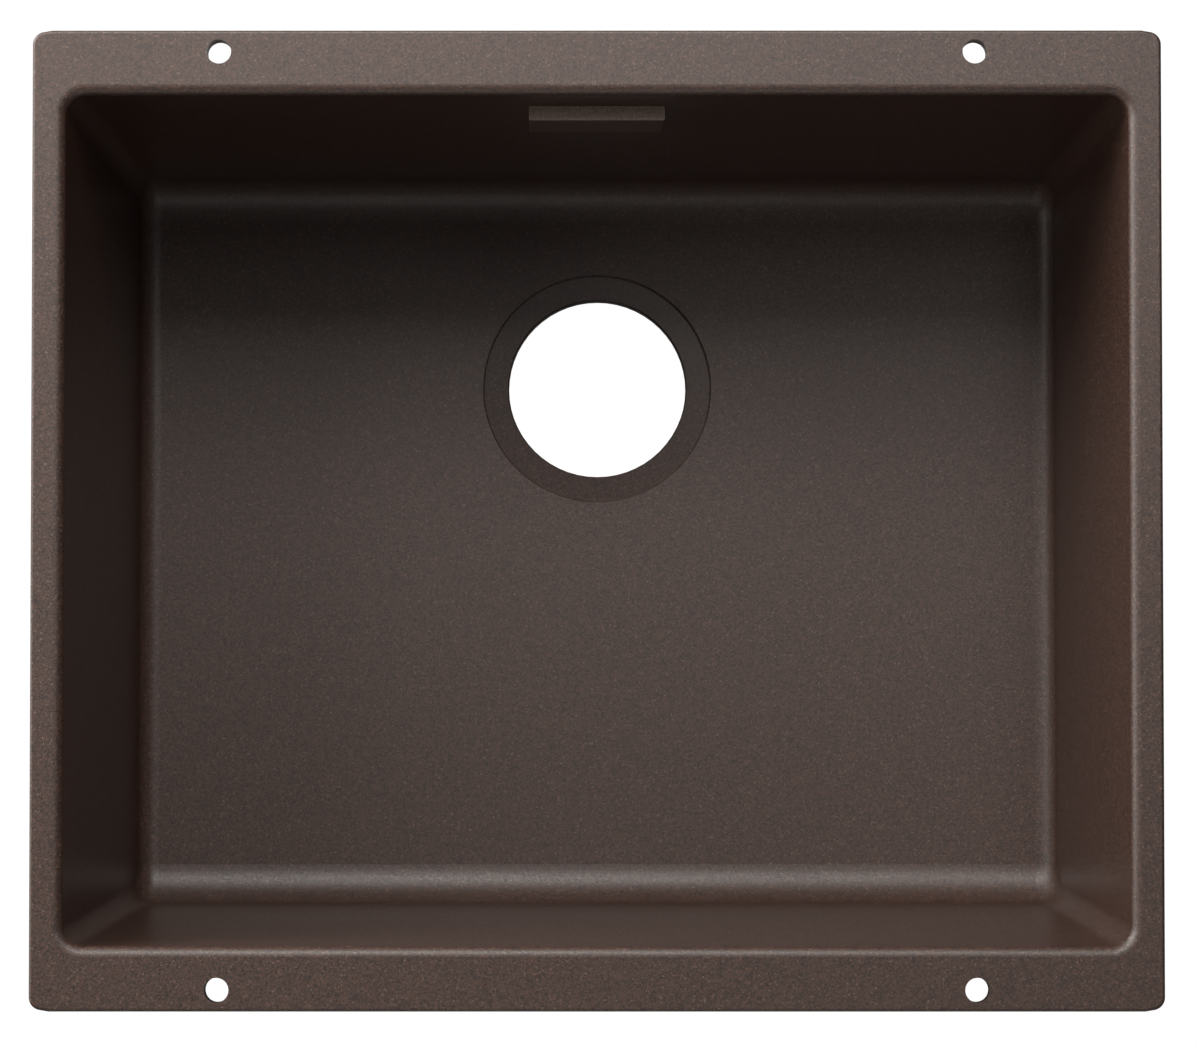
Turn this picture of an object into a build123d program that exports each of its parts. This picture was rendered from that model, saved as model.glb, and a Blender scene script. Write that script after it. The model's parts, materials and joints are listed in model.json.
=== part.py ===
from build123d import *
from math import cos, radians, sin, tan
import os

# Undermount kitchen sink: a granite-composite bowl that hangs under a worktop by its flange, with
# an overflow in its back wall. Millimetres. The origin is the middle of the flange's top face,
# which meets the worktop. +X is right, +Y is the back, where the tap stands, and +Z is up.

# ---- flange ----
flange_end_reach = 15.0  # past the bowl's rim, left and right
flange_long_reach = 30.0  # past the bowl's rim, front and back
flange_thickness = 11.0
corner_taper_length = 9.3  # the long edges slope away this far before each corner
corner_taper_drop = 1.56
corner_radius = 6.0
flange_edge_radius = 1.5  # round of the top outer edge
flange_under_chamfer = 0.8
hole_end_inset = 87.5  # from the flange's left and right edges
hole_edge_inset = 10.0  # from its front and back edges
hole_diameter = 11.5

# ---- bowl ----
bowl_length = 500.0  # inside, at the rim
bowl_width = 400.0
bowl_depth = 190.0  # rim to the rim of the drain recess
wall_draft = 5.7  # degrees that every wall leans in
wall = 9.0
rim_radius = 5.0
side_radius = 10.0  # upright corners, and where the side walls meet the floor
long_radius = 20.0  # where the front and back walls meet the floor
floor_fall = 0.6  # degrees that the floor falls back towards the drain
floor_blend_radius = 1500.0  # where the sloping floor meets the level floor round the drain
level_margin = 12.0  # of level floor in front of the drain's recess
flange_root_radius = 4.0  # between the flange's underside and the walls

# ---- drain ----
drain_setback = 121.5  # from the rim's back edge to the drain's middle
drain_diameter = 90.0
recess_diameter = 115.0
recess_depth = 2.0
drain_edge_chamfer = 0.6  # of the recess's rim and of the hole's
seat_thickness = 10.0  # floor under the strainer's seat

# ---- overflow cover ----
overflow_drop = 34.0  # rim down to the middle of the overflow
cover_length = 64.5
cover_height = 24.0
cover_wall = 2.0
cover_room = 0.9  # between the screws' heads and the inside of the cover
cover_edge_radius = 1.0
cover_inlet_length = 46.0  # open stretch of its lower side
cover_gap = 0.2  # between the cover and the wall
tongue_width = 7.0
tongue_thickness = 1.4
tongue_reach = 6.0  # past the wall's inner face
tongue_play = 0.35
tongue_tip_chamfer = 0.6

# ---- overflow carrier, seals and screws ----
aperture_length = 50.0
aperture_height = 14.0
aperture_radius = 3.0
fit_clearance = 0.3
seal_thickness = 0.8
lip_thickness = 1.5
lip_overlap = 2.5  # of the carrier's lip past the aperture's edge
passage_length = 29.0
passage_height = 9.6
carrier_overrun = 1.0  # of the carrier's sleeve into the housing's mouth
screw_spacing = 40.0
screw_diameter = 4.0
screw_length = 25.0  # under its head
screw_head_diameter = 7.0
screw_head_height = 2.0
screw_clearance = 0.2
screw_slot_width = 1.0
screw_slot_depth = 0.9
gasket_thickness = 2.5
gasket_overlap = 7.0

# ---- overflow housing ----
housing_length = 72.0
housing_rise = 15.0  # above the middle of the overflow
housing_straight = 11.0  # below the middle, before it narrows
housing_fall = 32.0  # below the middle, to its foot
housing_foot = 28.0
housing_depth = 20.5
housing_wall = 2.0
housing_radius = 5.0
housing_edge_chamfer = 2.0
plate_overlap = 2.0  # of the front plate past the shell
boss_diameter = 8.0
boss_gap = 0.5  # between the bosses and the carrier
boss_bore_depth = 13.0
rib_thickness = 1.6
rib_reach = 12.0  # back along the shell from the front plate
rib_spacing = 22.0  # of the three ribs on its top
fin_inset = 0.5  # of the spigot's side fins from the foot's corners
fin_clearance = 6.0  # between the fins and the nut

# ---- overflow outlet ----
outlet_offset = 13.0  # axis of the spigot from the wall's outer face
spigot_diameter = 19.0
spigot_bore = 14.6
spigot_length = 28.0
washer_bore = 15.2
washer_height = 3.2
washer_cone = 1.2
outlet_play = 0.3
nut_diameter = 24.6
nut_grip = 10.0  # stretch of the spigot inside the nut
nut_lip = 2.2
nut_flutes = 6
flute_radius = 4.0
flute_depth = 1.6
nut_chamfer = 0.6

# ---- worked out from the sizes above ----
flange_length = bowl_length + 2 * flange_end_reach
flange_width = bowl_width + 2 * flange_long_reach
hole_spacing_x = flange_length - 2 * hole_end_inset
hole_spacing_y = flange_width - 2 * hole_edge_inset
drain_y = bowl_width / 2 - drain_setback
slope_start = drain_y - recess_diameter / 2 - level_margin
lean = tan(radians(wall_draft))
wall_across = wall / cos(radians(wall_draft))  # a wall's thickness, measured level
recess_floor = -(bowl_depth + recess_depth)
underside = recess_floor - seat_thickness
floor_rise = (slope_start + bowl_width / 2) * tan(radians(floor_fall))

# On the inner face of the back wall: X right, Y up the wall, Z into the bowl.
overflow_plane = Plane(
    origin=(0, bowl_width / 2 - overflow_drop * lean, -overflow_drop),
    x_dir=(1, 0, 0),
    z_dir=(0, -cos(radians(wall_draft)), sin(radians(wall_draft))),
)
into_bowl = Axis(overflow_plane.origin, overflow_plane.z_dir)
up_wall = Axis(overflow_plane.origin, overflow_plane.y_dir)
lip_back = seal_thickness
lip_front = lip_back + lip_thickness
screw_front = lip_front + screw_head_height
cover_projection = screw_front + cover_room + cover_wall
plate_front = -(wall + gasket_thickness)  # face of the housing against the gasket
carrier_end = plate_front - carrier_overrun
housing_back = plate_front - housing_depth
boss_front = carrier_end - boss_gap
spigot_end = -(housing_fall + spigot_length)
washer_top = spigot_end - outlet_play
washer_bottom = washer_top - washer_height
lip_top = washer_bottom - outlet_play
nut_top = spigot_end + nut_grip
nut_bottom = lip_top - nut_lip
fin_end = nut_top + fin_clearance
screw_places = [(-screw_spacing / 2, 0), (screw_spacing / 2, 0)]

# Along the spigot's axis: X right, Y away from the wall, Z up the spigot.
outlet_axis_plane = Plane(
    origin=overflow_plane.from_local_coords((0, 0, -(wall + outlet_offset))),
    x_dir=(1, 0, 0),
    z_dir=overflow_plane.y_dir,
)
outlet_axis = Axis(outlet_axis_plane.origin, outlet_axis_plane.z_dir)

# On top of the housing's shell, behind its front plate: X away from the wall, Y up, Z right.
rib_plane = Plane(
    origin=overflow_plane.from_local_coords((0, housing_rise, plate_front - housing_wall)),
    x_dir=-overflow_plane.z_dir,
    z_dir=overflow_plane.x_dir,
)
outlet_section_plane = Plane(
    origin=outlet_axis_plane.origin,
    x_dir=(1, 0, 0),
    z_dir=overflow_plane.z_dir,
)


# ---- bowl ----
# The inside's floor is level round the drain and rises a little in front of it. Its front and back
# edges are rounded first, so that each end wall then has one smooth outline, up both corners and
# along the floor, to round in turn.
with BuildPart() as inside:
    with BuildSketch(Plane.YZ.offset(-bowl_length / 2)):
        with BuildLine():
            Polyline(
                (-bowl_width / 2, 0),
                (bowl_width / 2, 0),
                (bowl_width / 2, -bowl_depth),
                (slope_start, -bowl_depth),
                (-bowl_width / 2, floor_rise - bowl_depth),
                close=True,
            )
        make_face()
        bend = vertices().sort_by_distance((slope_start, -bowl_depth, 0))[0]
        fillet(bend, floor_blend_radius)
    extrude(amount=bowl_length)
    walls = inside.faces().filter_by(Axis.X) + inside.faces().filter_by(Axis.Y)
    draft(walls, Plane.XY, -wall_draft)
    for long_wall in (inside.faces().sort_by(Axis.Y)[0], inside.faces().sort_by(Axis.Y)[-1]):
        fillet(long_wall.edges().sort_by(Axis.Z)[0], long_radius)
    for end_wall in (inside.faces().sort_by(Axis.X)[0], inside.faces().sort_by(Axis.X)[-1]):
        outline = end_wall.edges().sort_by(Axis.Z)[:-1]
        fillet(outline, side_radius)

with BuildPart() as outside:
    with BuildSketch():
        Rectangle(bowl_length + 2 * wall_across, bowl_width + 2 * wall_across)
    extrude(amount=underside)
    walls = outside.faces().filter_by(Axis.X) + outside.faces().filter_by(Axis.Y)
    draft(walls, Plane.XY, -wall_draft)
    below_flange = outside.edges().sort_by(Axis.Z)[:-4]
    fillet(below_flange, side_radius + wall)

with BuildPart() as bowl:
    with BuildSketch():
        with BuildLine():
            Polyline(
                (flange_length / 2, -flange_width / 2 + corner_taper_drop),
                (flange_length / 2, flange_width / 2 - corner_taper_drop),
                (flange_length / 2 - corner_taper_length, flange_width / 2),
                (-flange_length / 2 + corner_taper_length, flange_width / 2),
                (-flange_length / 2, flange_width / 2 - corner_taper_drop),
                (-flange_length / 2, -flange_width / 2 + corner_taper_drop),
                (-flange_length / 2 + corner_taper_length, -flange_width / 2),
                (flange_length / 2 - corner_taper_length, -flange_width / 2),
                close=True,
            )
        make_face()
        ends = vertices().group_by(Axis.X)
        fillet(ends[0] + ends[-1], corner_radius)
    extrude(amount=-flange_thickness)
    add(outside.part)
    under_flange = bowl.faces().filter_by(Axis.Z).group_by(Axis.Z)[1][0]
    fillet(under_flange.inner_wires()[0].edges(), flange_root_radius)
    add(inside.part, mode=Mode.SUBTRACT)
    top = bowl.faces().filter_by(Axis.Z).sort_by(Axis.Z)[-1]
    fillet(top.inner_wires()[0].edges(), rim_radius)
    top = bowl.faces().filter_by(Axis.Z).sort_by(Axis.Z)[-1]
    fillet(top.outer_wire().edges(), flange_edge_radius)
    under_flange = bowl.faces().filter_by(Axis.Z).sort_by(Axis.Z)[-2]
    chamfer(under_flange.outer_wire().edges(), flange_under_chamfer)
    with BuildSketch():
        with GridLocations(hole_spacing_x, hole_spacing_y, 2, 2):
            Circle(hole_diameter / 2)
    extrude(amount=-flange_thickness, mode=Mode.SUBTRACT)
    with BuildSketch(Plane.XY.offset(recess_floor)):
        with Locations((0, drain_y)):
            Circle(recess_diameter / 2)
    extrude(amount=bowl_depth / 2, mode=Mode.SUBTRACT)
    with BuildSketch(Plane.XY.offset(recess_floor)):
        with Locations((0, drain_y)):
            Circle(drain_diameter / 2)
    extrude(amount=-seat_thickness, mode=Mode.SUBTRACT)
    for rim_diameter in (recess_diameter, drain_diameter):
        rims = bowl.edges().filter_by(GeomType.CIRCLE).filter_by(
            lambda edge: abs(edge.radius - rim_diameter / 2) < 0.01
        )
        chamfer(rims.sort_by(Axis.Z)[-1], drain_edge_chamfer)
    with BuildSketch(overflow_plane.offset(wall)):
        RectangleRounded(aperture_length, aperture_height, aperture_radius)
    extrude(amount=-3 * wall, mode=Mode.SUBTRACT)
bowl.part.label = "bowl"

# ---- overflow carrier and its seals ----
with BuildPart() as overflow_frame:
    with BuildSketch(overflow_plane.offset(lip_back)):
        RectangleRounded(
            aperture_length + 2 * lip_overlap + 2 * fit_clearance,
            aperture_height + 2 * lip_overlap,
            aperture_radius,
        )
    extrude(amount=lip_thickness)
    with BuildSketch(overflow_plane.offset(lip_back)):
        RectangleRounded(
            aperture_length - 2 * fit_clearance,
            aperture_height - 2 * fit_clearance,
            aperture_radius - fit_clearance,
        )
    extrude(amount=carrier_end - lip_back)
    with BuildSketch(overflow_plane.offset(lip_front)):
        Rectangle(passage_length, passage_height)
    extrude(amount=carrier_end - lip_front, mode=Mode.SUBTRACT)
    with Locations(overflow_plane.offset(lip_front)):
        with Locations(*screw_places):
            Hole(screw_diameter / 2 + screw_clearance, depth=lip_front - carrier_end)
overflow_frame.part.label = "overflow_frame"

with BuildPart() as inner_seal:
    with BuildSketch(overflow_plane):
        RectangleRounded(
            aperture_length + 2 * lip_overlap,
            aperture_height + 2 * lip_overlap,
            aperture_radius,
        )
        RectangleRounded(aperture_length, aperture_height, aperture_radius, mode=Mode.SUBTRACT)
    extrude(amount=seal_thickness)
inner_seal.part.label = "inner_seal"

with BuildPart() as outer_gasket:
    with BuildSketch(overflow_plane.offset(-wall)):
        RectangleRounded(
            aperture_length + 2 * gasket_overlap,
            aperture_height + 2 * gasket_overlap,
            aperture_radius + gasket_overlap / 2,
        )
        RectangleRounded(aperture_length, aperture_height, aperture_radius, mode=Mode.SUBTRACT)
    extrude(amount=-gasket_thickness)
outer_gasket.part.label = "outer_gasket"

with BuildPart() as frame_screws:
    with BuildSketch(overflow_plane.offset(screw_front)):
        with Locations(*screw_places):
            Circle(screw_head_diameter / 2)
    extrude(amount=-screw_head_height)
    with BuildSketch(overflow_plane.offset(lip_front)):
        with Locations(*screw_places):
            Circle(screw_diameter / 2)
    extrude(amount=-screw_length)
    with BuildSketch(overflow_plane.offset(screw_front)):
        with Locations(*screw_places):
            Rectangle(screw_head_diameter, screw_slot_width)
    extrude(amount=-screw_slot_depth, mode=Mode.SUBTRACT)
frame_screws.part.label = "frame_screws"

# ---- overflow cover ----
tongue_middle = passage_length / 2 - tongue_play - tongue_thickness / 2
with BuildPart() as overflow_cover:
    with BuildSketch(overflow_plane.offset(cover_gap)):
        Rectangle(cover_length, cover_height)
    extrude(amount=cover_projection - cover_gap)
    front = overflow_cover.faces().sort_by(into_bowl)[-1]
    fillet(front.edges(), cover_edge_radius)
    with BuildSketch(overflow_plane.offset(cover_gap)):
        Rectangle(cover_length - 2 * cover_wall, cover_height - 2 * cover_wall)
        with Locations((0, -cover_height / 2)):
            Rectangle(cover_inlet_length, 2 * cover_wall)
    extrude(amount=cover_projection - cover_gap - cover_wall, mode=Mode.SUBTRACT)
    with BuildSketch(overflow_plane.offset(cover_projection - cover_wall)):
        with Locations((-tongue_middle, 0), (tongue_middle, 0)):
            Rectangle(tongue_thickness, tongue_width)
    extrude(amount=-(cover_projection - cover_wall + tongue_reach))
    tips = overflow_cover.faces().sort_by(into_bowl)[:2]
    for tip in tips:
        chamfer(tip.edges().filter_by(up_wall), tongue_tip_chamfer)
overflow_cover.part.label = "overflow_cover"

# ---- overflow housing ----
with BuildPart() as overflow_housing:
    with BuildSketch(overflow_plane.offset(plate_front)) as housing_outline:
        with BuildLine():
            Polyline(
                (-housing_length / 2, housing_rise),
                (housing_length / 2, housing_rise),
                (housing_length / 2, -housing_straight),
                (housing_foot / 2, -housing_fall),
                (-housing_foot / 2, -housing_fall),
                (-housing_length / 2, -housing_straight),
                close=True,
            )
        make_face()
        fillet(vertices(), housing_radius)
    extrude(amount=-housing_depth)
    back = overflow_housing.faces().sort_by(into_bowl)[0]
    chamfer(back.edges(), housing_edge_chamfer)
    with BuildSketch(overflow_plane.offset(plate_front)):
        add(housing_outline.sketch_local)
        offset(amount=plate_overlap)
    extrude(amount=-housing_wall)
    with BuildSketch(outlet_axis_plane.offset(-(housing_fall - housing_wall))):
        Circle(spigot_diameter / 2)
    extrude(amount=-(spigot_length + housing_wall))
    with BuildSketch(overflow_plane.offset(plate_front - housing_wall)):
        add(housing_outline.sketch_local)
        offset(amount=-housing_wall)
    extrude(amount=-(housing_depth - 2 * housing_wall), mode=Mode.SUBTRACT)
    with BuildSketch(overflow_plane.offset(plate_front)):
        RectangleRounded(aperture_length, aperture_height, aperture_radius)
    extrude(amount=-housing_wall, mode=Mode.SUBTRACT)
    with BuildSketch(outlet_axis_plane.offset(spigot_end)):
        Circle(spigot_bore / 2)
    extrude(amount=spigot_length + 2 * housing_wall, mode=Mode.SUBTRACT)
    with BuildSketch(overflow_plane.offset(boss_front)):
        with Locations(*screw_places):
            Circle(boss_diameter / 2)
    extrude(amount=housing_back + housing_wall - boss_front)
    with BuildSketch(overflow_plane.offset(boss_front)):
        with Locations(*screw_places):
            Circle(screw_diameter / 2 + screw_clearance)
    extrude(amount=-boss_bore_depth, mode=Mode.SUBTRACT)
    for rib_x in (-rib_spacing, 0, rib_spacing):
        with BuildSketch(rib_plane.offset(rib_x - rib_thickness / 2)):
            with BuildLine():
                Polyline(
                    (0, plate_overlap),
                    (0, -housing_wall / 2),
                    (rib_reach, -housing_wall / 2),
                    (rib_reach, 0),
                    close=True,
                )
            make_face()
        extrude(amount=rib_thickness)
    with BuildSketch(outlet_section_plane.offset(-rib_thickness / 2)):
        with BuildLine():
            Polyline(
                (spigot_bore / 2 + housing_wall / 2, -housing_fall + housing_wall / 2),
                (housing_foot / 2 - fin_inset, -housing_fall + housing_wall / 2),
                (housing_foot / 2 - fin_inset, -housing_fall),
                (spigot_diameter / 2, fin_end),
                (spigot_bore / 2 + housing_wall / 2, fin_end),
                close=True,
            )
        make_face()
        mirror(about=Plane.YZ)
    extrude(amount=rib_thickness)
overflow_housing.part.label = "overflow_housing"

# ---- overflow outlet ----
with BuildPart() as outlet_washer:
    with BuildSketch(outlet_section_plane):
        with BuildLine():
            Polyline(
                (washer_bore / 2, washer_top),
                (washer_bore / 2 + (spigot_diameter - washer_bore) / 4, washer_top),
                (spigot_diameter / 2, washer_top - washer_cone),
                (spigot_diameter / 2, washer_bottom),
                (washer_bore / 2, washer_bottom),
                close=True,
            )
        make_face()
    revolve(axis=outlet_axis)
outlet_washer.part.label = "outlet_washer"

with BuildPart() as outlet_nut:
    with BuildSketch(outlet_axis_plane.offset(nut_top)):
        Circle(nut_diameter / 2)
    extrude(amount=nut_bottom - nut_top)
    chamfer(outlet_nut.faces().sort_by(outlet_axis)[0].edges(), nut_chamfer)
    with BuildSketch(outlet_axis_plane.offset(nut_top)):
        with PolarLocations(nut_diameter / 2 + flute_radius - flute_depth, nut_flutes):
            Circle(flute_radius)
    extrude(amount=nut_bottom - nut_top, mode=Mode.SUBTRACT)
    with BuildSketch(outlet_axis_plane.offset(nut_top)):
        Circle(spigot_diameter / 2 + outlet_play)
    extrude(amount=lip_top - nut_top, mode=Mode.SUBTRACT)
    with BuildSketch(outlet_axis_plane.offset(lip_top)):
        Circle(washer_bore / 2)
    extrude(amount=-nut_lip, mode=Mode.SUBTRACT)
outlet_nut.part.label = "outlet_nut"

os.makedirs("parts", exist_ok=True)
export_step(bowl.part, "parts/bowl.step")
export_step(overflow_cover.part, "parts/overflow_cover.step")
export_step(overflow_frame.part, "parts/overflow_frame.step")
export_step(inner_seal.part, "parts/inner_seal.step")
export_step(outer_gasket.part, "parts/outer_gasket.step")
export_step(frame_screws.part, "parts/frame_screws.step")
export_step(overflow_housing.part, "parts/overflow_housing.step")
export_step(outlet_washer.part, "parts/outlet_washer.step")
export_step(outlet_nut.part, "parts/outlet_nut.step")
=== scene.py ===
import json
import math

import bpy
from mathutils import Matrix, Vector


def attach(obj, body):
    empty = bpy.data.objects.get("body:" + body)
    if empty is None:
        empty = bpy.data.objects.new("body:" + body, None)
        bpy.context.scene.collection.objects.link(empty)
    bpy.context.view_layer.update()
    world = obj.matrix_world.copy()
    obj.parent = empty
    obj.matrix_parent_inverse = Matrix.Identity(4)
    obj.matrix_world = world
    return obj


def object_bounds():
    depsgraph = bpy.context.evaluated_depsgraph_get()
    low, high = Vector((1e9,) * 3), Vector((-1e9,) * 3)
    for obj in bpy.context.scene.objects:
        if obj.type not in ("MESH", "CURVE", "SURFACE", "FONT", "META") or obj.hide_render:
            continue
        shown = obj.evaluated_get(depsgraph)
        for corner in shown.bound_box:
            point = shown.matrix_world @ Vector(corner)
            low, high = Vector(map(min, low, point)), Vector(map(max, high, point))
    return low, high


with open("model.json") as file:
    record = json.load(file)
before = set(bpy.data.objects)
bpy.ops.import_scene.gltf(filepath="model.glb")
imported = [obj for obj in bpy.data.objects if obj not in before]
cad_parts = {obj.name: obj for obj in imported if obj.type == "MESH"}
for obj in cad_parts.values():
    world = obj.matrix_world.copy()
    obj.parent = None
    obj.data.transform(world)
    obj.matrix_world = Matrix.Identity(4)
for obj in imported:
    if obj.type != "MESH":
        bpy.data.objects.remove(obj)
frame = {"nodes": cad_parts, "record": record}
cad_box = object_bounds()
scene = bpy.context.scene

# ---- the picture ----
CAMERA_PLACE = (0.0023, -0.1372, 2.1799)
CAMERA_TILT = math.radians(2.097)  # towards the back
CAMERA_TURN = math.radians(0.046)  # towards the left
CAMERA_LENS = 140.49  # mm
CAMERA_SENSOR = 36.0  # mm across
CAMERA_RISE = 0.10  # upward shift, as a share of the picture's width

# ---- the light ----
LAMP_AIM = Vector((0.0, 0.0, -0.1))  # the middle of the bowl
LAMP_DISTANCE = 1.9
LAMP_SIZE = 0.6
LAMP_COLOUR = (1.0, 0.98, 0.945)  # a little warm
AMBIENT = 0.05  # strength of the light from all round
WHITE = (1.0, 1.0, 1.0, 1.0)

# ---- the floor ----
FLOOR_SIZE = 12.0
FLOOR_GAP = 0.001  # between the sink and the floor
FLOOR_GREY = 0.35  # share of the lamps' light that it throws back
FLOOR_WHITE_SHARE = 0.94  # of what the camera sees of it that is plain white
FLOOR_WHITE_STRENGTH = 1.08  # with that share, just enough to clip to white

# ---- places on the sink, from the frame and its record ----
WALL = 0.009
FLANGE_ENDS = 0.015  # from the rim to the flange's left and right edges
FLANGE_SIDES = 0.030  # and to its front and back edges
mounts = {mount["name"]: mount for mount in frame["record"]["mounts"]}
drain_place = Vector(mounts["drain_hole"]["pos_m"])
outlet_axis = Vector(mounts["overflow_outlet"]["axis"])  # down along the leaning back wall
outlet_length = mounts["overflow_outlet"]["dims"]["length_mm"] / 1000
spigot_end = Vector(mounts["overflow_outlet"]["pos_m"]) + outlet_axis * outlet_length / 2
wall_lean = math.atan2(-outlet_axis.y, -outlet_axis.z)
outer_half_length = cad_box[1][0] - FLANGE_ENDS + WALL  # of the walls' outside, at the rim's level
outer_half_width = cad_box[1][1] - FLANGE_SIDES + WALL
floor_underside = -cad_box[0][2]
RECESS_RADIUS = 0.0575
OVERFLOW_DROP = 0.034  # rim down to the middle of the overflow
SPIGOT_RADIUS = 0.0095
SCREW_OFFSET = 0.020  # of the two screws, to the left and right of the middle
# The right-hand screw's middle, on the inner face of the back wall.
screw_place = (
    SCREW_OFFSET,
    outer_half_width - WALL - OVERFLOW_DROP * math.tan(wall_lean),
    -OVERFLOW_DROP,
)

# ---- numbers that the finishes share ----
NOISE_LOW = 0.3  # nearly all values of a noise texture lie between these two
NOISE_HIGH = 0.7
STONE_GRAIN_MM = 0.7  # sand of 0.3 to 0.7 mm, drawn at its coarsest so that it shows


# ---- materials ----
def linear(hex_colour):
    """An sRGB colour such as "4b3a34" as linear red, green, blue and alpha."""
    channels = []
    for start in (0, 2, 4):
        value = int(hex_colour[start:start + 2], 16) / 255
        channels.append(value / 12.92 if value <= 0.04045 else ((value + 0.055) / 1.055) ** 2.4)
    return (*channels, 1.0)


def node(tree, kind, settings=None, **inputs):
    """Adds one node. settings are its properties. An input is named for its socket, or i0, i1 and so
    on for its place, and is a number, a colour or another node's output."""
    made = tree.nodes.new(kind)
    for name, value in (settings or {}).items():
        setattr(made, name, value)
    for name, value in inputs.items():
        by_place = name[0] == "i" and name[1:].isdigit()
        socket = made.inputs[int(name[1:])] if by_place else made.inputs[name.replace("_", " ")]
        if isinstance(value, bpy.types.NodeSocket):
            tree.links.new(value, socket)
        else:
            socket.default_value = value
    return made


def new_material(name):
    """A material with no shader yet, its node tree and its object coordinates."""
    material = bpy.data.materials.new(name)
    material.use_nodes = True
    tree = material.node_tree
    tree.nodes.clear()
    place = node(tree, "ShaderNodeTexCoord").outputs["Object"]
    return material, tree, place


def finish_material(tree, shader):
    node(tree, "ShaderNodeOutputMaterial", Surface=shader.outputs["BSDF"])


def shade(colour, share):
    """The colour, that many times as light."""
    return [channel * share for channel in colour[:3]] + [1.0]


def facing_up(tree):
    """How far a face looks up: 1 on a level top, 0 on an upright wall and -1 underneath."""
    facing = node(tree, "ShaderNodeTexCoord").outputs["Normal"]
    return node(tree, "ShaderNodeSeparateXYZ", Vector=facing).outputs["Z"]


# ---- granite composite: where its finish changes ----
LEVEL_FACE = 0.5  # a face that looks up or down more than this counts as level
UPRIGHT_FACE = 0.15  # and less than this as upright, as the leaning walls do with 0.10
WALL_BLEND = 0.001  # half of the band in the wall where inside turns into outside
EDGE_TOP = 0.002  # on the flange's edge the outside's finish fades in between these two depths
EDGE_BOTTOM = 0.004
SEAT_EDGE = 0.0004  # past the recess's wall, over which the seat's finish fades out
SEAT_TOP = 0.1907  # between these two depths the seat's finish fades in
SEAT_BOTTOM = 0.1912


def upright_share(tree):
    """1 on walls, 0 on level faces, and between the two on the roundings that join them."""
    level = node(tree, "ShaderNodeMath", {"operation": "ABSOLUTE"}, i0=facing_up(tree))
    upright = node(
        tree, "ShaderNodeMapRange", Value=level.outputs[0], From_Min=LEVEL_FACE, From_Max=UPRIGHT_FACE
    )
    return upright.outputs["Result"]


def outside_share(tree, spread):
    """1 on the casting's outside, and 0 in the bowl and on the flange's top. spread holds a point's
    distances from the sink's middle, which are compared with the middle of the 9 mm wall."""
    past_end = node(
        tree, "ShaderNodeMath", {"operation": "SUBTRACT"},
        i0=spread.outputs["X"], i1=outer_half_length - WALL / 2,
    )
    past_side = node(
        tree, "ShaderNodeMath", {"operation": "SUBTRACT"},
        i0=spread.outputs["Y"], i1=outer_half_width - WALL / 2,
    )
    past_wall = node(
        tree, "ShaderNodeMath", {"operation": "MAXIMUM"},
        i0=past_end.outputs[0], i1=past_side.outputs[0],
    )
    # The walls lean in, so a point lower down is that much further out.
    lean = node(
        tree, "ShaderNodeMath", {"operation": "MULTIPLY"},
        i0=spread.outputs["Z"], i1=math.tan(wall_lean),
    )
    past_wall = node(
        tree, "ShaderNodeMath", {"operation": "ADD"}, i0=past_wall.outputs[0], i1=lean.outputs[0]
    )
    below_floor = node(
        tree, "ShaderNodeMath", {"operation": "SUBTRACT"},
        i0=spread.outputs["Z"], i1=floor_underside - WALL / 2,
    )
    past = node(
        tree, "ShaderNodeMath", {"operation": "MAXIMUM"},
        i0=past_wall.outputs[0], i1=below_floor.outputs[0],
    )
    under_top = node(
        tree, "ShaderNodeMapRange", Value=spread.outputs["Z"], From_Min=EDGE_TOP, From_Max=EDGE_BOTTOM
    )
    outside = node(
        tree, "ShaderNodeMapRange", Value=past.outputs[0], From_Min=-WALL_BLEND, From_Max=WALL_BLEND
    )
    outside = node(
        tree, "ShaderNodeMath", {"operation": "MULTIPLY"},
        i0=outside.outputs["Result"], i1=under_top.outputs["Result"],
    )
    return outside.outputs[0]


def seat_share(tree, place, depth):
    """1 on the floor of the drain's recess and in the drain hole below it, and 0 elsewhere."""
    across = node(
        tree, "ShaderNodeMapping", {"vector_type": "POINT"},
        Vector=place, Location=(0.0, -drain_place.y, 0.0), Scale=(1.0, 1.0, 0.0),
    )
    from_drain = node(
        tree, "ShaderNodeVectorMath", {"operation": "LENGTH"}, i0=across.outputs["Vector"]
    )
    in_recess = node(
        tree, "ShaderNodeMapRange", Value=from_drain.outputs["Value"],
        From_Min=RECESS_RADIUS + SEAT_EDGE, From_Max=RECESS_RADIUS,
    )
    under_floor = node(
        tree, "ShaderNodeMapRange", Value=depth, From_Min=SEAT_TOP, From_Max=SEAT_BOTTOM
    )
    seat = node(
        tree, "ShaderNodeMath", {"operation": "MULTIPLY"},
        i0=in_recess.outputs["Result"], i1=under_floor.outputs["Result"],
    )
    return seat.outputs[0]


# ---- granite composite: its finish ----
DARKEST_GRAIN = 0.35  # times as light as the body colour
LIGHTEST_GRAIN = 1.55
LIGHTEST_PLACE = 0.95  # on the ramp of grains, which then runs on to the pale ones
PALE_GRAIN = "5c4a42"
CLOUDS_PER_METRE = 16.0
CLOUDS_INSIDE = 0.02  # how much lighter and darker the clouds are
CLOUDS_OUTSIDE = 0.10
SEAT_TONE = -0.14  # added to the share of the body colour
# painted shade: upright faces a little darker than level ones
UPRIGHT_PAINTED_SHADE = -0.15
SMOOTHEST_GRAIN = 0.46  # roughness
ROUGHEST_GRAIN = 0.58
OUTSIDE_ROUGHER = 0.14
UPRIGHT_ROUGHER = -0.16
SEAT_ROUGHNESS = 0.33
PEBBLE_MM = 0.6
PEBBLE_DEPTH = 0.00008
PEBBLE_STRENGTH = 0.35
PEBBLES_INSIDE = 1.0  # times that depth
PEBBLES_OUTSIDE = 2.2
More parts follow.
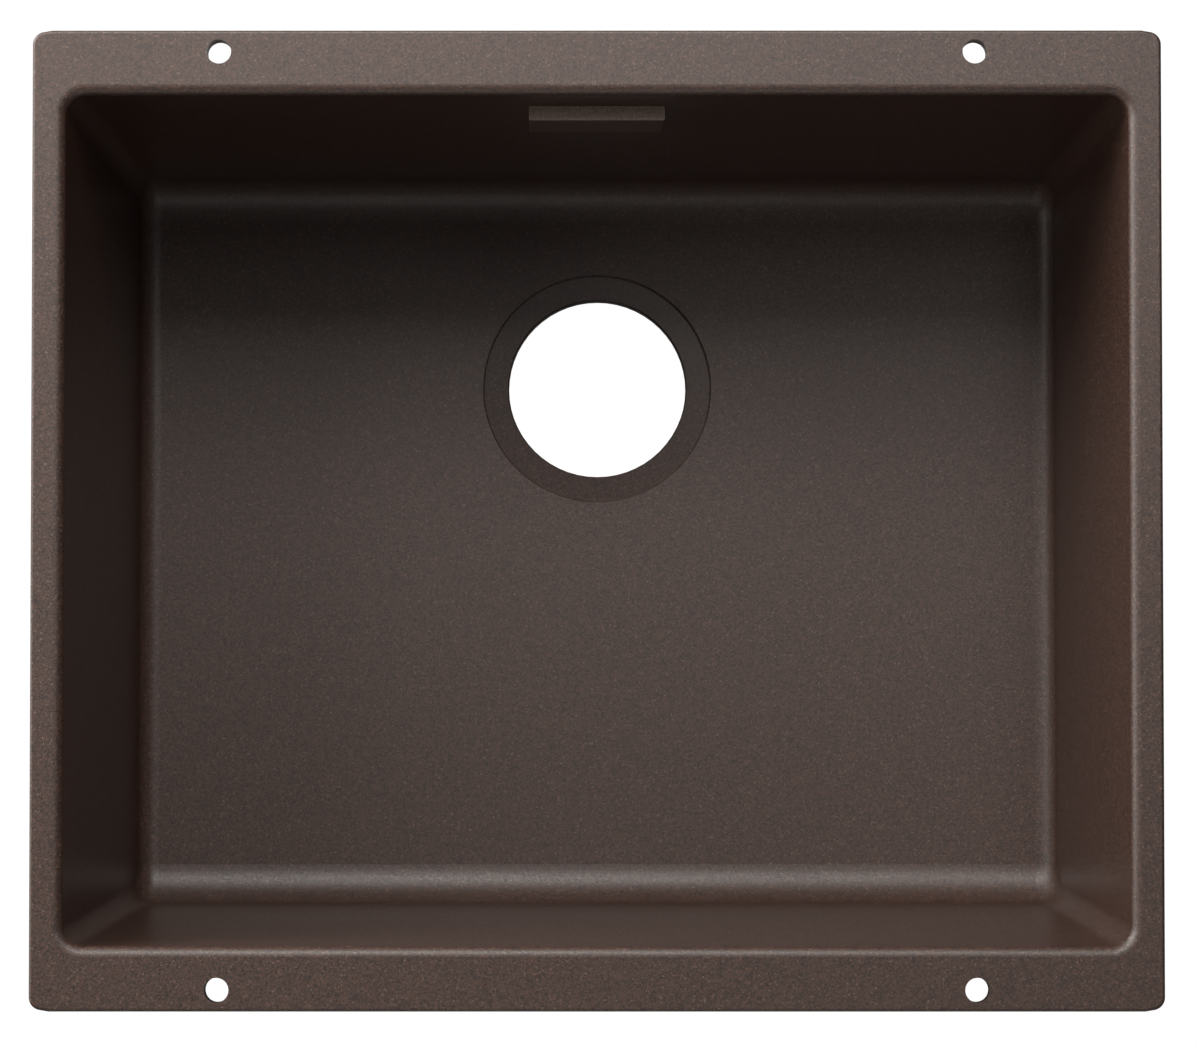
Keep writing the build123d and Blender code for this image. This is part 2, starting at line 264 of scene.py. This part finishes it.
PEBBLES_SEAT = -0.8  # added to it on the seat
GRANITE_IOR = 1.5
GRANITE_SPECULAR = 0.75


def granite_composite(name, colour):
    """Quartz sand in tinted acrylic, cast in one piece. The faces that show are matt and silky, with
    grains lighter and darker than the body that read as a fine even speckle. The walls slid off the
    mould, so upright faces are a little smoother; they are also painted a little darker, as painted
    shade. The outside is as the back half of the mould left it: duller, rougher and faintly cloudy."""
    material, tree, place = new_material(name)
    base = linear(colour)
    grains = node(
        tree, "ShaderNodeTexVoronoi", {"feature": "F1"}, Vector=place, Scale=1000 / STONE_GRAIN_MM
    )
    draw = node(tree, "ShaderNodeSeparateColor", Color=grains.outputs["Color"])
    # The ramp's last twentieth runs on to the pale grains.
    speckle = node(tree, "ShaderNodeValToRGB", Fac=draw.outputs["Red"])
    tones = speckle.color_ramp
    tones.elements[0].color = shade(base, DARKEST_GRAIN)
    tones.elements[1].position = LIGHTEST_PLACE
    tones.elements[1].color = shade(base, LIGHTEST_GRAIN)
    tones.elements.new(1.0).color = linear(PALE_GRAIN)
    spread = node(tree, "ShaderNodeVectorMath", {"operation": "ABSOLUTE"}, i0=place)
    spread = node(tree, "ShaderNodeSeparateXYZ", Vector=spread.outputs["Vector"])
    outside = outside_share(tree, spread)
    seat = seat_share(tree, place, spread.outputs["Z"])
    upright = upright_share(tree)
    # Faint clouds 60 mm across, from how the mix settled, and stronger on the outside. The seat is a
    # little darker all over, and the upright faces are painted darker all over, as painted shade.
    clouds = node(
        tree, "ShaderNodeTexNoise", Vector=place, Scale=CLOUDS_PER_METRE, Detail=3.0, Roughness=0.6
    )
    clouds = node(
        tree, "ShaderNodeMapRange", Value=clouds.outputs["Fac"],
        From_Min=NOISE_LOW, From_Max=NOISE_HIGH, To_Min=-1.0, To_Max=1.0,
    )
    depth = node(
        tree, "ShaderNodeMapRange", Value=outside, To_Min=CLOUDS_INSIDE, To_Max=CLOUDS_OUTSIDE
    )
    tone = node(
        tree, "ShaderNodeMath", {"operation": "MULTIPLY_ADD"},
        i0=clouds.outputs["Result"], i1=depth.outputs["Result"], i2=1.0,
    )
    tone = node(
        tree, "ShaderNodeMath", {"operation": "MULTIPLY_ADD"},
        i0=seat, i1=SEAT_TONE, i2=tone.outputs[0],
    )
    # Painted shade: the upright faces are made darker.
    tone = node(
        tree, "ShaderNodeMath", {"operation": "MULTIPLY_ADD"},
        i0=upright, i1=UPRIGHT_PAINTED_SHADE, i2=tone.outputs[0],
    )
    tinted = node(
        tree, "ShaderNodeVectorMath", {"operation": "SCALE"},
        i0=speckle.outputs["Color"], Scale=tone.outputs[0],
    )
    # Each grain has its own roughness, about 0.52 on the flange and the floor and 0.36 on the inner
    # walls. The outside is 0.14 rougher, and the seat for the strainer has an even 0.33.
    gloss = node(
        tree, "ShaderNodeMapRange", Value=draw.outputs["Green"],
        To_Min=SMOOTHEST_GRAIN, To_Max=ROUGHEST_GRAIN,
    )
    gloss = node(
        tree, "ShaderNodeMath", {"operation": "MULTIPLY_ADD"},
        i0=outside, i1=OUTSIDE_ROUGHER, i2=gloss.outputs["Result"],
    )
    gloss = node(
        tree, "ShaderNodeMix", {"data_type": "FLOAT"}, i0=seat, i2=gloss.outputs[0], i3=SEAT_ROUGHNESS
    )
    gloss = node(
        tree, "ShaderNodeMath", {"operation": "MULTIPLY_ADD"},
        i0=upright, i1=UPRIGHT_ROUGHER, i2=gloss.outputs[0],
    )
    # Skin of the casting: 0.6 mm pebbling, under 0.1 mm deep, deeper outside and faint on the seat.
    skin = node(
        tree, "ShaderNodeTexNoise", Vector=place, Scale=1000 / PEBBLE_MM, Detail=2.0, Roughness=0.5
    )
    height = node(
        tree, "ShaderNodeMapRange", Value=outside, To_Min=PEBBLES_INSIDE, To_Max=PEBBLES_OUTSIDE
    )
    height = node(
        tree, "ShaderNodeMath", {"operation": "MULTIPLY_ADD"},
        i0=seat, i1=PEBBLES_SEAT, i2=height.outputs["Result"],
    )
    height = node(
        tree, "ShaderNodeMath", {"operation": "MULTIPLY"},
        i0=skin.outputs["Fac"], i1=height.outputs[0],
    )
    bump = node(
        tree, "ShaderNodeBump",
        Strength=PEBBLE_STRENGTH, Distance=PEBBLE_DEPTH, Height=height.outputs[0],
    )
    shader = node(
        tree, "ShaderNodeBsdfPrincipled",
        Base_Color=tinted.outputs["Vector"], Roughness=gloss.outputs[0],
        Normal=bump.outputs["Normal"], IOR=GRANITE_IOR, Specular_IOR_Level=GRANITE_SPECULAR,
    )
    finish_material(tree, shader)
    return material


# ---- ABS ----
ABS_IOR = 1.53
ABS_ROUGHNESS_SPREAD = 0.05  # up and down, from grain to grain
ABS_GRAIN_STRENGTH = 0.5
FLOW_PER_METRE = 90.0  # clouds 11 mm across
FLOW_DARKEST = 0.94  # times the colour
FLOW_LIGHTEST = 1.06
BLACK_ROUGHNESS = 0.45
BLACK_GRAIN_MM = 0.35
BLACK_GRAIN_DEPTH = 0.00002
STONE_ROUGHNESS = 0.53
STONE_SATIN_MM = 0.5
STONE_SATIN_DEPTH = 0.00003
STONE_DARKEST = 0.7  # times the colour
STONE_LIGHTEST = 1.3
# Painted light: faces that look up take the paler top colour.
PAINTED_LIGHT_TOP_FROM = 0.3  # a face that looks up this far starts to take the top's colour
PAINTED_LIGHT_TOP_FULLY = 0.7


def finish_abs(tree, place, colour, roughness, grain_mm, grain_depth):
    """The spark-eroded mould grain of both ABS finishes, which breaks the highlight up into a soft
    satin."""
    grain = node(
        tree, "ShaderNodeTexNoise", Vector=place, Scale=1000 / grain_mm, Detail=3.0, Roughness=0.6
    )
    satin = node(
        tree, "ShaderNodeMapRange", Value=grain.outputs["Fac"], From_Min=NOISE_LOW, From_Max=NOISE_HIGH,
        To_Min=roughness - ABS_ROUGHNESS_SPREAD, To_Max=roughness + ABS_ROUGHNESS_SPREAD,
    )
    bump = node(
        tree, "ShaderNodeBump",
        Strength=ABS_GRAIN_STRENGTH, Distance=grain_depth, Height=grain.outputs["Fac"],
    )
    shader = node(
        tree, "ShaderNodeBsdfPrincipled", Base_Color=colour, Roughness=satin.outputs["Result"],
        Normal=bump.outputs["Normal"], IOR=ABS_IOR,
    )
    finish_material(tree, shader)


def moulded_abs(name, colour):
    """Injection-moulded ABS: one even colour with faint flow clouds, and a satin mould grain."""
    material, tree, place = new_material(name)
    flow = node(
        tree, "ShaderNodeTexNoise", Vector=place, Scale=FLOW_PER_METRE, Detail=2.0, Roughness=0.5
    )
    cloud = node(
        tree, "ShaderNodeMapRange", Value=flow.outputs["Fac"], From_Min=NOISE_LOW, From_Max=NOISE_HIGH,
        To_Min=FLOW_DARKEST, To_Max=FLOW_LIGHTEST,
    )
    tint = node(
        tree, "ShaderNodeVectorMath", {"operation": "SCALE"},
        i0=linear(colour)[:3], Scale=cloud.outputs["Result"],
    )
    finish_abs(
        tree, place, tint.outputs["Vector"], BLACK_ROUGHNESS, BLACK_GRAIN_MM, BLACK_GRAIN_DEPTH
    )
    return material


def stone_effect_abs(name, colour, painted_light_top_colour):
    """Injection-moulded ABS in the sink's brown, with stone-effect grains in it and a satin mould
    grain. Its top is painted paler, as painted light on the level face, and its front is as dark as the
    wall behind it."""
    material, tree, place = new_material(name)
    # Painted light: the level top is painted paler than the front.
    painted_light_on_top = node(
        tree, "ShaderNodeMapRange", Value=facing_up(tree), From_Min=PAINTED_LIGHT_TOP_FROM, From_Max=PAINTED_LIGHT_TOP_FULLY
    )
    body = node(
        tree, "ShaderNodeMix", {"data_type": "RGBA"},
        i0=painted_light_on_top.outputs["Result"], i6=linear(colour), i7=linear(painted_light_top_colour),
    )
    grains = node(
        tree, "ShaderNodeTexVoronoi", {"feature": "F1"}, Vector=place, Scale=1000 / STONE_GRAIN_MM
    )
    draw = node(tree, "ShaderNodeSeparateColor", Color=grains.outputs["Color"])
    share = node(
        tree, "ShaderNodeMapRange", Value=draw.outputs["Red"],
        To_Min=STONE_DARKEST, To_Max=STONE_LIGHTEST,
    )
    tint = node(
        tree, "ShaderNodeVectorMath", {"operation": "SCALE"},
        i0=body.outputs[2], Scale=share.outputs["Result"],
    )
    finish_abs(
        tree, place, tint.outputs["Vector"], STONE_ROUGHNESS, STONE_SATIN_MM, STONE_SATIN_DEPTH
    )
    return material


# ---- rubber ----
BLOOM_PER_METRE = 220.0  # patches 4.5 mm across
BLOOM_FROM = 0.35  # on the bloom's own scale
BLOOM_FULLY = 0.75
BARE_RUBBER = "161616"
BLOOMED_RUBBER = "262625"
RUBBER_SMOOTHEST = 0.72
RUBBER_ROUGHEST = 0.9
PIT_MM = 0.4
PIT_DEPTH = 0.00003
PIT_STRENGTH = 0.4
RUBBER_IOR = 1.5


def moulded_epdm(name):
    """Compression-moulded EPDM rubber: near black and very matt, with a greyish bloom in patches and
    the fine pits of the mould."""
    material, tree, place = new_material(name)
    bloom = node(
        tree, "ShaderNodeTexNoise", Vector=place, Scale=BLOOM_PER_METRE, Detail=4.0, Roughness=0.65
    )
    tone = node(tree, "ShaderNodeValToRGB", Fac=bloom.outputs["Fac"])
    tone.color_ramp.elements[0].position = BLOOM_FROM
    tone.color_ramp.elements[0].color = linear(BARE_RUBBER)
    tone.color_ramp.elements[1].position = BLOOM_FULLY
    tone.color_ramp.elements[1].color = linear(BLOOMED_RUBBER)
    dull = node(
        tree, "ShaderNodeMapRange", Value=bloom.outputs["Fac"], From_Min=NOISE_LOW, From_Max=NOISE_HIGH,
        To_Min=RUBBER_SMOOTHEST, To_Max=RUBBER_ROUGHEST,
    )
    pits = node(tree, "ShaderNodeTexVoronoi", {"feature": "F1"}, Vector=place, Scale=1000 / PIT_MM)
    bump = node(
        tree, "ShaderNodeBump",
        Strength=PIT_STRENGTH, Distance=PIT_DEPTH, Height=pits.outputs["Distance"],
    )
    shader = node(
        tree, "ShaderNodeBsdfPrincipled",
        Base_Color=tone.outputs["Color"], Roughness=dull.outputs["Result"],
        Normal=bump.outputs["Normal"], IOR=RUBBER_IOR,
    )
    finish_material(tree, shader)
    return material


# ---- steel ----
STEEL = "b9b9b6"
TURNING_MM = 0.15  # between two turning lines
TURNING_DEPTH = 0.00002
TURNING_STRENGTH = 0.3
FILM_PER_METRE = 700.0  # patches 1.4 mm across, in how bright the metal is
STEEL_SMOOTHEST = 0.26
STEEL_ROUGHEST = 0.36


def stainless_steel(name):
    """A2 stainless steel, cold headed and turned: a clean grey metal whose highlight is drawn out
    round the screw by fine turning lines 0.15 mm apart."""
    material, tree, place = new_material(name)
    # Both screws stand square to the leaning back wall, at equal distances from the middle.
    folded = node(tree, "ShaderNodeVectorMath", {"operation": "ABSOLUTE"}, i0=place)
    side = node(tree, "ShaderNodeSeparateXYZ", Vector=folded.outputs["Vector"])
    along = node(tree, "ShaderNodeSeparateXYZ", Vector=place)
    at_screw = node(
        tree, "ShaderNodeCombineXYZ",
        X=side.outputs["X"], Y=along.outputs["Y"], Z=along.outputs["Z"],
    )
    centred = node(
        tree, "ShaderNodeMapping", {"vector_type": "TEXTURE"},
        Vector=at_screw.outputs["Vector"], Location=screw_place, Rotation=(-wall_lean, 0.0, 0.0),
    )
    parts = node(tree, "ShaderNodeSeparateXYZ", Vector=centred.outputs["Vector"])
    flat = node(tree, "ShaderNodeCombineXYZ", X=parts.outputs["X"], Z=parts.outputs["Z"])
    radius = node(tree, "ShaderNodeVectorMath", {"operation": "LENGTH"}, i0=flat.outputs["Vector"])
    lines = node(
        tree, "ShaderNodeMath", {"operation": "MULTIPLY"},
        i0=radius.outputs["Value"], i1=2 * math.pi * 1000 / TURNING_MM,
    )
    lines = node(tree, "ShaderNodeMath", {"operation": "SINE"}, i0=lines.outputs[0])
    bump = node(
        tree, "ShaderNodeBump",
        Strength=TURNING_STRENGTH, Distance=TURNING_DEPTH, Height=lines.outputs[0],
    )
    film = node(tree, "ShaderNodeTexNoise", Vector=place, Scale=FILM_PER_METRE, Detail=2.0)
    gloss = node(
        tree, "ShaderNodeMapRange", Value=film.outputs["Fac"], From_Min=NOISE_LOW, From_Max=NOISE_HIGH,
        To_Min=STEEL_SMOOTHEST, To_Max=STEEL_ROUGHEST,
    )
    shader = node(
        tree, "ShaderNodeBsdfPrincipled",
        Base_Color=linear(STEEL), Metallic=1.0, Roughness=gloss.outputs["Result"],
        Normal=bump.outputs["Normal"],
    )
    finish_material(tree, shader)
    return material


finishes = {
    "bowl": granite_composite("cast_granite_composite", "3a261e"),
    # 66554c is painted light on the cover's top, paler than its body colour 3b2921
    "overflow_cover": stone_effect_abs("moulded_abs_stone_effect", "3b2921", "66554c"),
    "overflow_frame": moulded_abs("moulded_abs_black", "1e1e20"),
    "inner_seal": moulded_epdm("moulded_epdm_rubber"),
    "frame_screws": stainless_steel("turned_stainless_steel"),
}
finishes["overflow_housing"] = finishes["overflow_frame"]
finishes["outlet_nut"] = finishes["overflow_frame"]
finishes["outer_gasket"] = finishes["inner_seal"]
finishes["outlet_washer"] = finishes["inner_seal"]
for name, obj in frame["nodes"].items():
    for slot in obj.material_slots:
        slot.material = finishes[name]


# ---- thread on the overflow's spigot ----
THREAD_PITCH = 0.002
THREAD_TURNS = 5
THREAD_STEPS = 48  # round one turn
RIDGE = 0.00035  # half the diagonal of the ridge's square section, which stands on its corner
RIDGE_SUNK = 0.00013  # of the section's middle below the spigot's face
PLAIN_END = 0.0008  # of spigot below the thread
SAME_PLACE = 1e-7  # points closer than this are one
SMOOTH_ANGLE = math.radians(30)
bpy.ops.object.select_all(action="DESELECT")
bpy.ops.mesh.primitive_circle_add(
    vertices=4,
    radius=RIDGE,
    location=(SPIGOT_RADIUS - RIDGE_SUNK, 0.0, 0.0),
    rotation=(math.pi / 2, 0.0, 0.0),
)
thread = bpy.context.object
thread.name = "spigot_thread"
bpy.ops.object.transform_apply(location=True, rotation=True, scale=True)
winding = thread.modifiers.new("winding", "SCREW")
winding.axis = "Z"
winding.screw_offset = THREAD_PITCH
winding.iterations = THREAD_TURNS
winding.steps = THREAD_STEPS
winding.render_steps = THREAD_STEPS
bpy.ops.object.modifier_apply(modifier="winding")
bpy.ops.object.mode_set(mode="EDIT")
bpy.ops.mesh.select_all(action="SELECT")
bpy.ops.mesh.remove_doubles(threshold=SAME_PLACE)
bpy.ops.mesh.fill_holes(sides=0)
bpy.ops.mesh.select_all(action="SELECT")
bpy.ops.mesh.normals_make_consistent(inside=False)
bpy.ops.object.mode_set(mode="OBJECT")
thread.rotation_euler = (-wall_lean, 0.0, 0.0)
thread.location = spigot_end - outlet_axis * PLAIN_END
bpy.ops.object.transform_apply(location=True, rotation=True, scale=True)
thread.data.materials.append(finishes["overflow_frame"])
bpy.ops.object.shade_smooth_by_angle(angle=SMOOTH_ANGLE)
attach(thread, "sink")


# ---- floor and world ----
def seen_share(tree):
    """1 for rays that come from the camera or through glass, and 0 for light on the sink."""
    path = node(tree, "ShaderNodeLightPath")
    seen = node(
        tree, "ShaderNodeMath", {"operation": "MAXIMUM"},
        i0=path.outputs["Is Camera Ray"], i1=path.outputs["Is Transmission Ray"],
    )
    return seen.outputs[0]


bpy.ops.object.select_all(action="DESELECT")
bpy.ops.mesh.primitive_plane_add(size=FLOOR_SIZE, location=(0, 0, cad_box[0][2] - FLOOR_GAP))
floor = bpy.context.object
floor.name = "floor"
material, tree, _ = new_material("pale_floor")
share = node(
    tree, "ShaderNodeMath", {"operation": "MULTIPLY"}, i0=seen_share(tree), i1=FLOOR_WHITE_SHARE
)
pale = node(tree, "ShaderNodeBsdfDiffuse", Color=(FLOOR_GREY, FLOOR_GREY, FLOOR_GREY, 1.0))
white = node(tree, "ShaderNodeEmission", Color=WHITE, Strength=FLOOR_WHITE_STRENGTH)
mixed = node(
    tree, "ShaderNodeMixShader", Fac=share.outputs[0], i1=pale.outputs[0], i2=white.outputs[0]
)
node(tree, "ShaderNodeOutputMaterial", Surface=mixed.outputs[0])
floor.data.materials.append(material)

world = bpy.data.worlds.new("studio")
world.use_nodes = True
scene.world = world
tree = world.node_tree
tree.nodes.clear()
level = node(tree, "ShaderNodeMapRange", Value=seen_share(tree), To_Min=AMBIENT, To_Max=1.0)
sky = node(tree, "ShaderNodeBackground", Color=WHITE, Strength=level.outputs["Result"])
node(tree, "ShaderNodeOutputWorld", Surface=sky.outputs[0])


# ---- lamps ----
def softbox(name, direction, power):
    """A square area lamp that faces the sink from one direction."""
    data = bpy.data.lights.new(name, "AREA")
    data.shape = "SQUARE"
    data.size = LAMP_SIZE
    data.energy = power
    data.color = LAMP_COLOUR
    lamp = bpy.data.objects.new(name, data)
    scene.collection.objects.link(lamp)
    aim = Vector(direction).normalized()
    lamp.location = LAMP_AIM + aim * LAMP_DISTANCE
    lamp.rotation_euler = aim.to_track_quat("Z", "Y").to_euler()
    lamp.visible_camera = False


softbox("above", (0.3, 0.45, 1.0), 4.4)
softbox("above_front", (0.3, -0.15, 1.0), 0.9)
softbox("back_high", (0.0, 0.75, 1.0), 14.9)
softbox("back_middle", (-0.5, 0.9, 1.0), 2.5)
softbox("back_low", (-0.2, 1.1, 1.0), 9.9)
softbox("back_left", (-1.0, 0.85, 1.0), 11.7)
softbox("left", (-1.7, 0.0, 1.0), 4.2)
softbox("left_low", (-3.0, 2.0, 1.0), 35.0)
softbox("left_level", (-4.0, 0.0, 1.0), 8.7)
softbox("front_low", (0.0, -2.0, 1.0), 5.2)

# ---- camera ----
camera_data = bpy.data.cameras.new("camera")
camera_data.lens = CAMERA_LENS
camera_data.sensor_width = CAMERA_SENSOR
camera_data.shift_y = CAMERA_RISE
camera = bpy.data.objects.new("camera", camera_data)
scene.collection.objects.link(camera)
camera.location = CAMERA_PLACE
camera.rotation_euler = (CAMERA_TILT, CAMERA_TURN, 0.0)
scene.camera = camera

scene.view_settings.view_transform = "Standard"
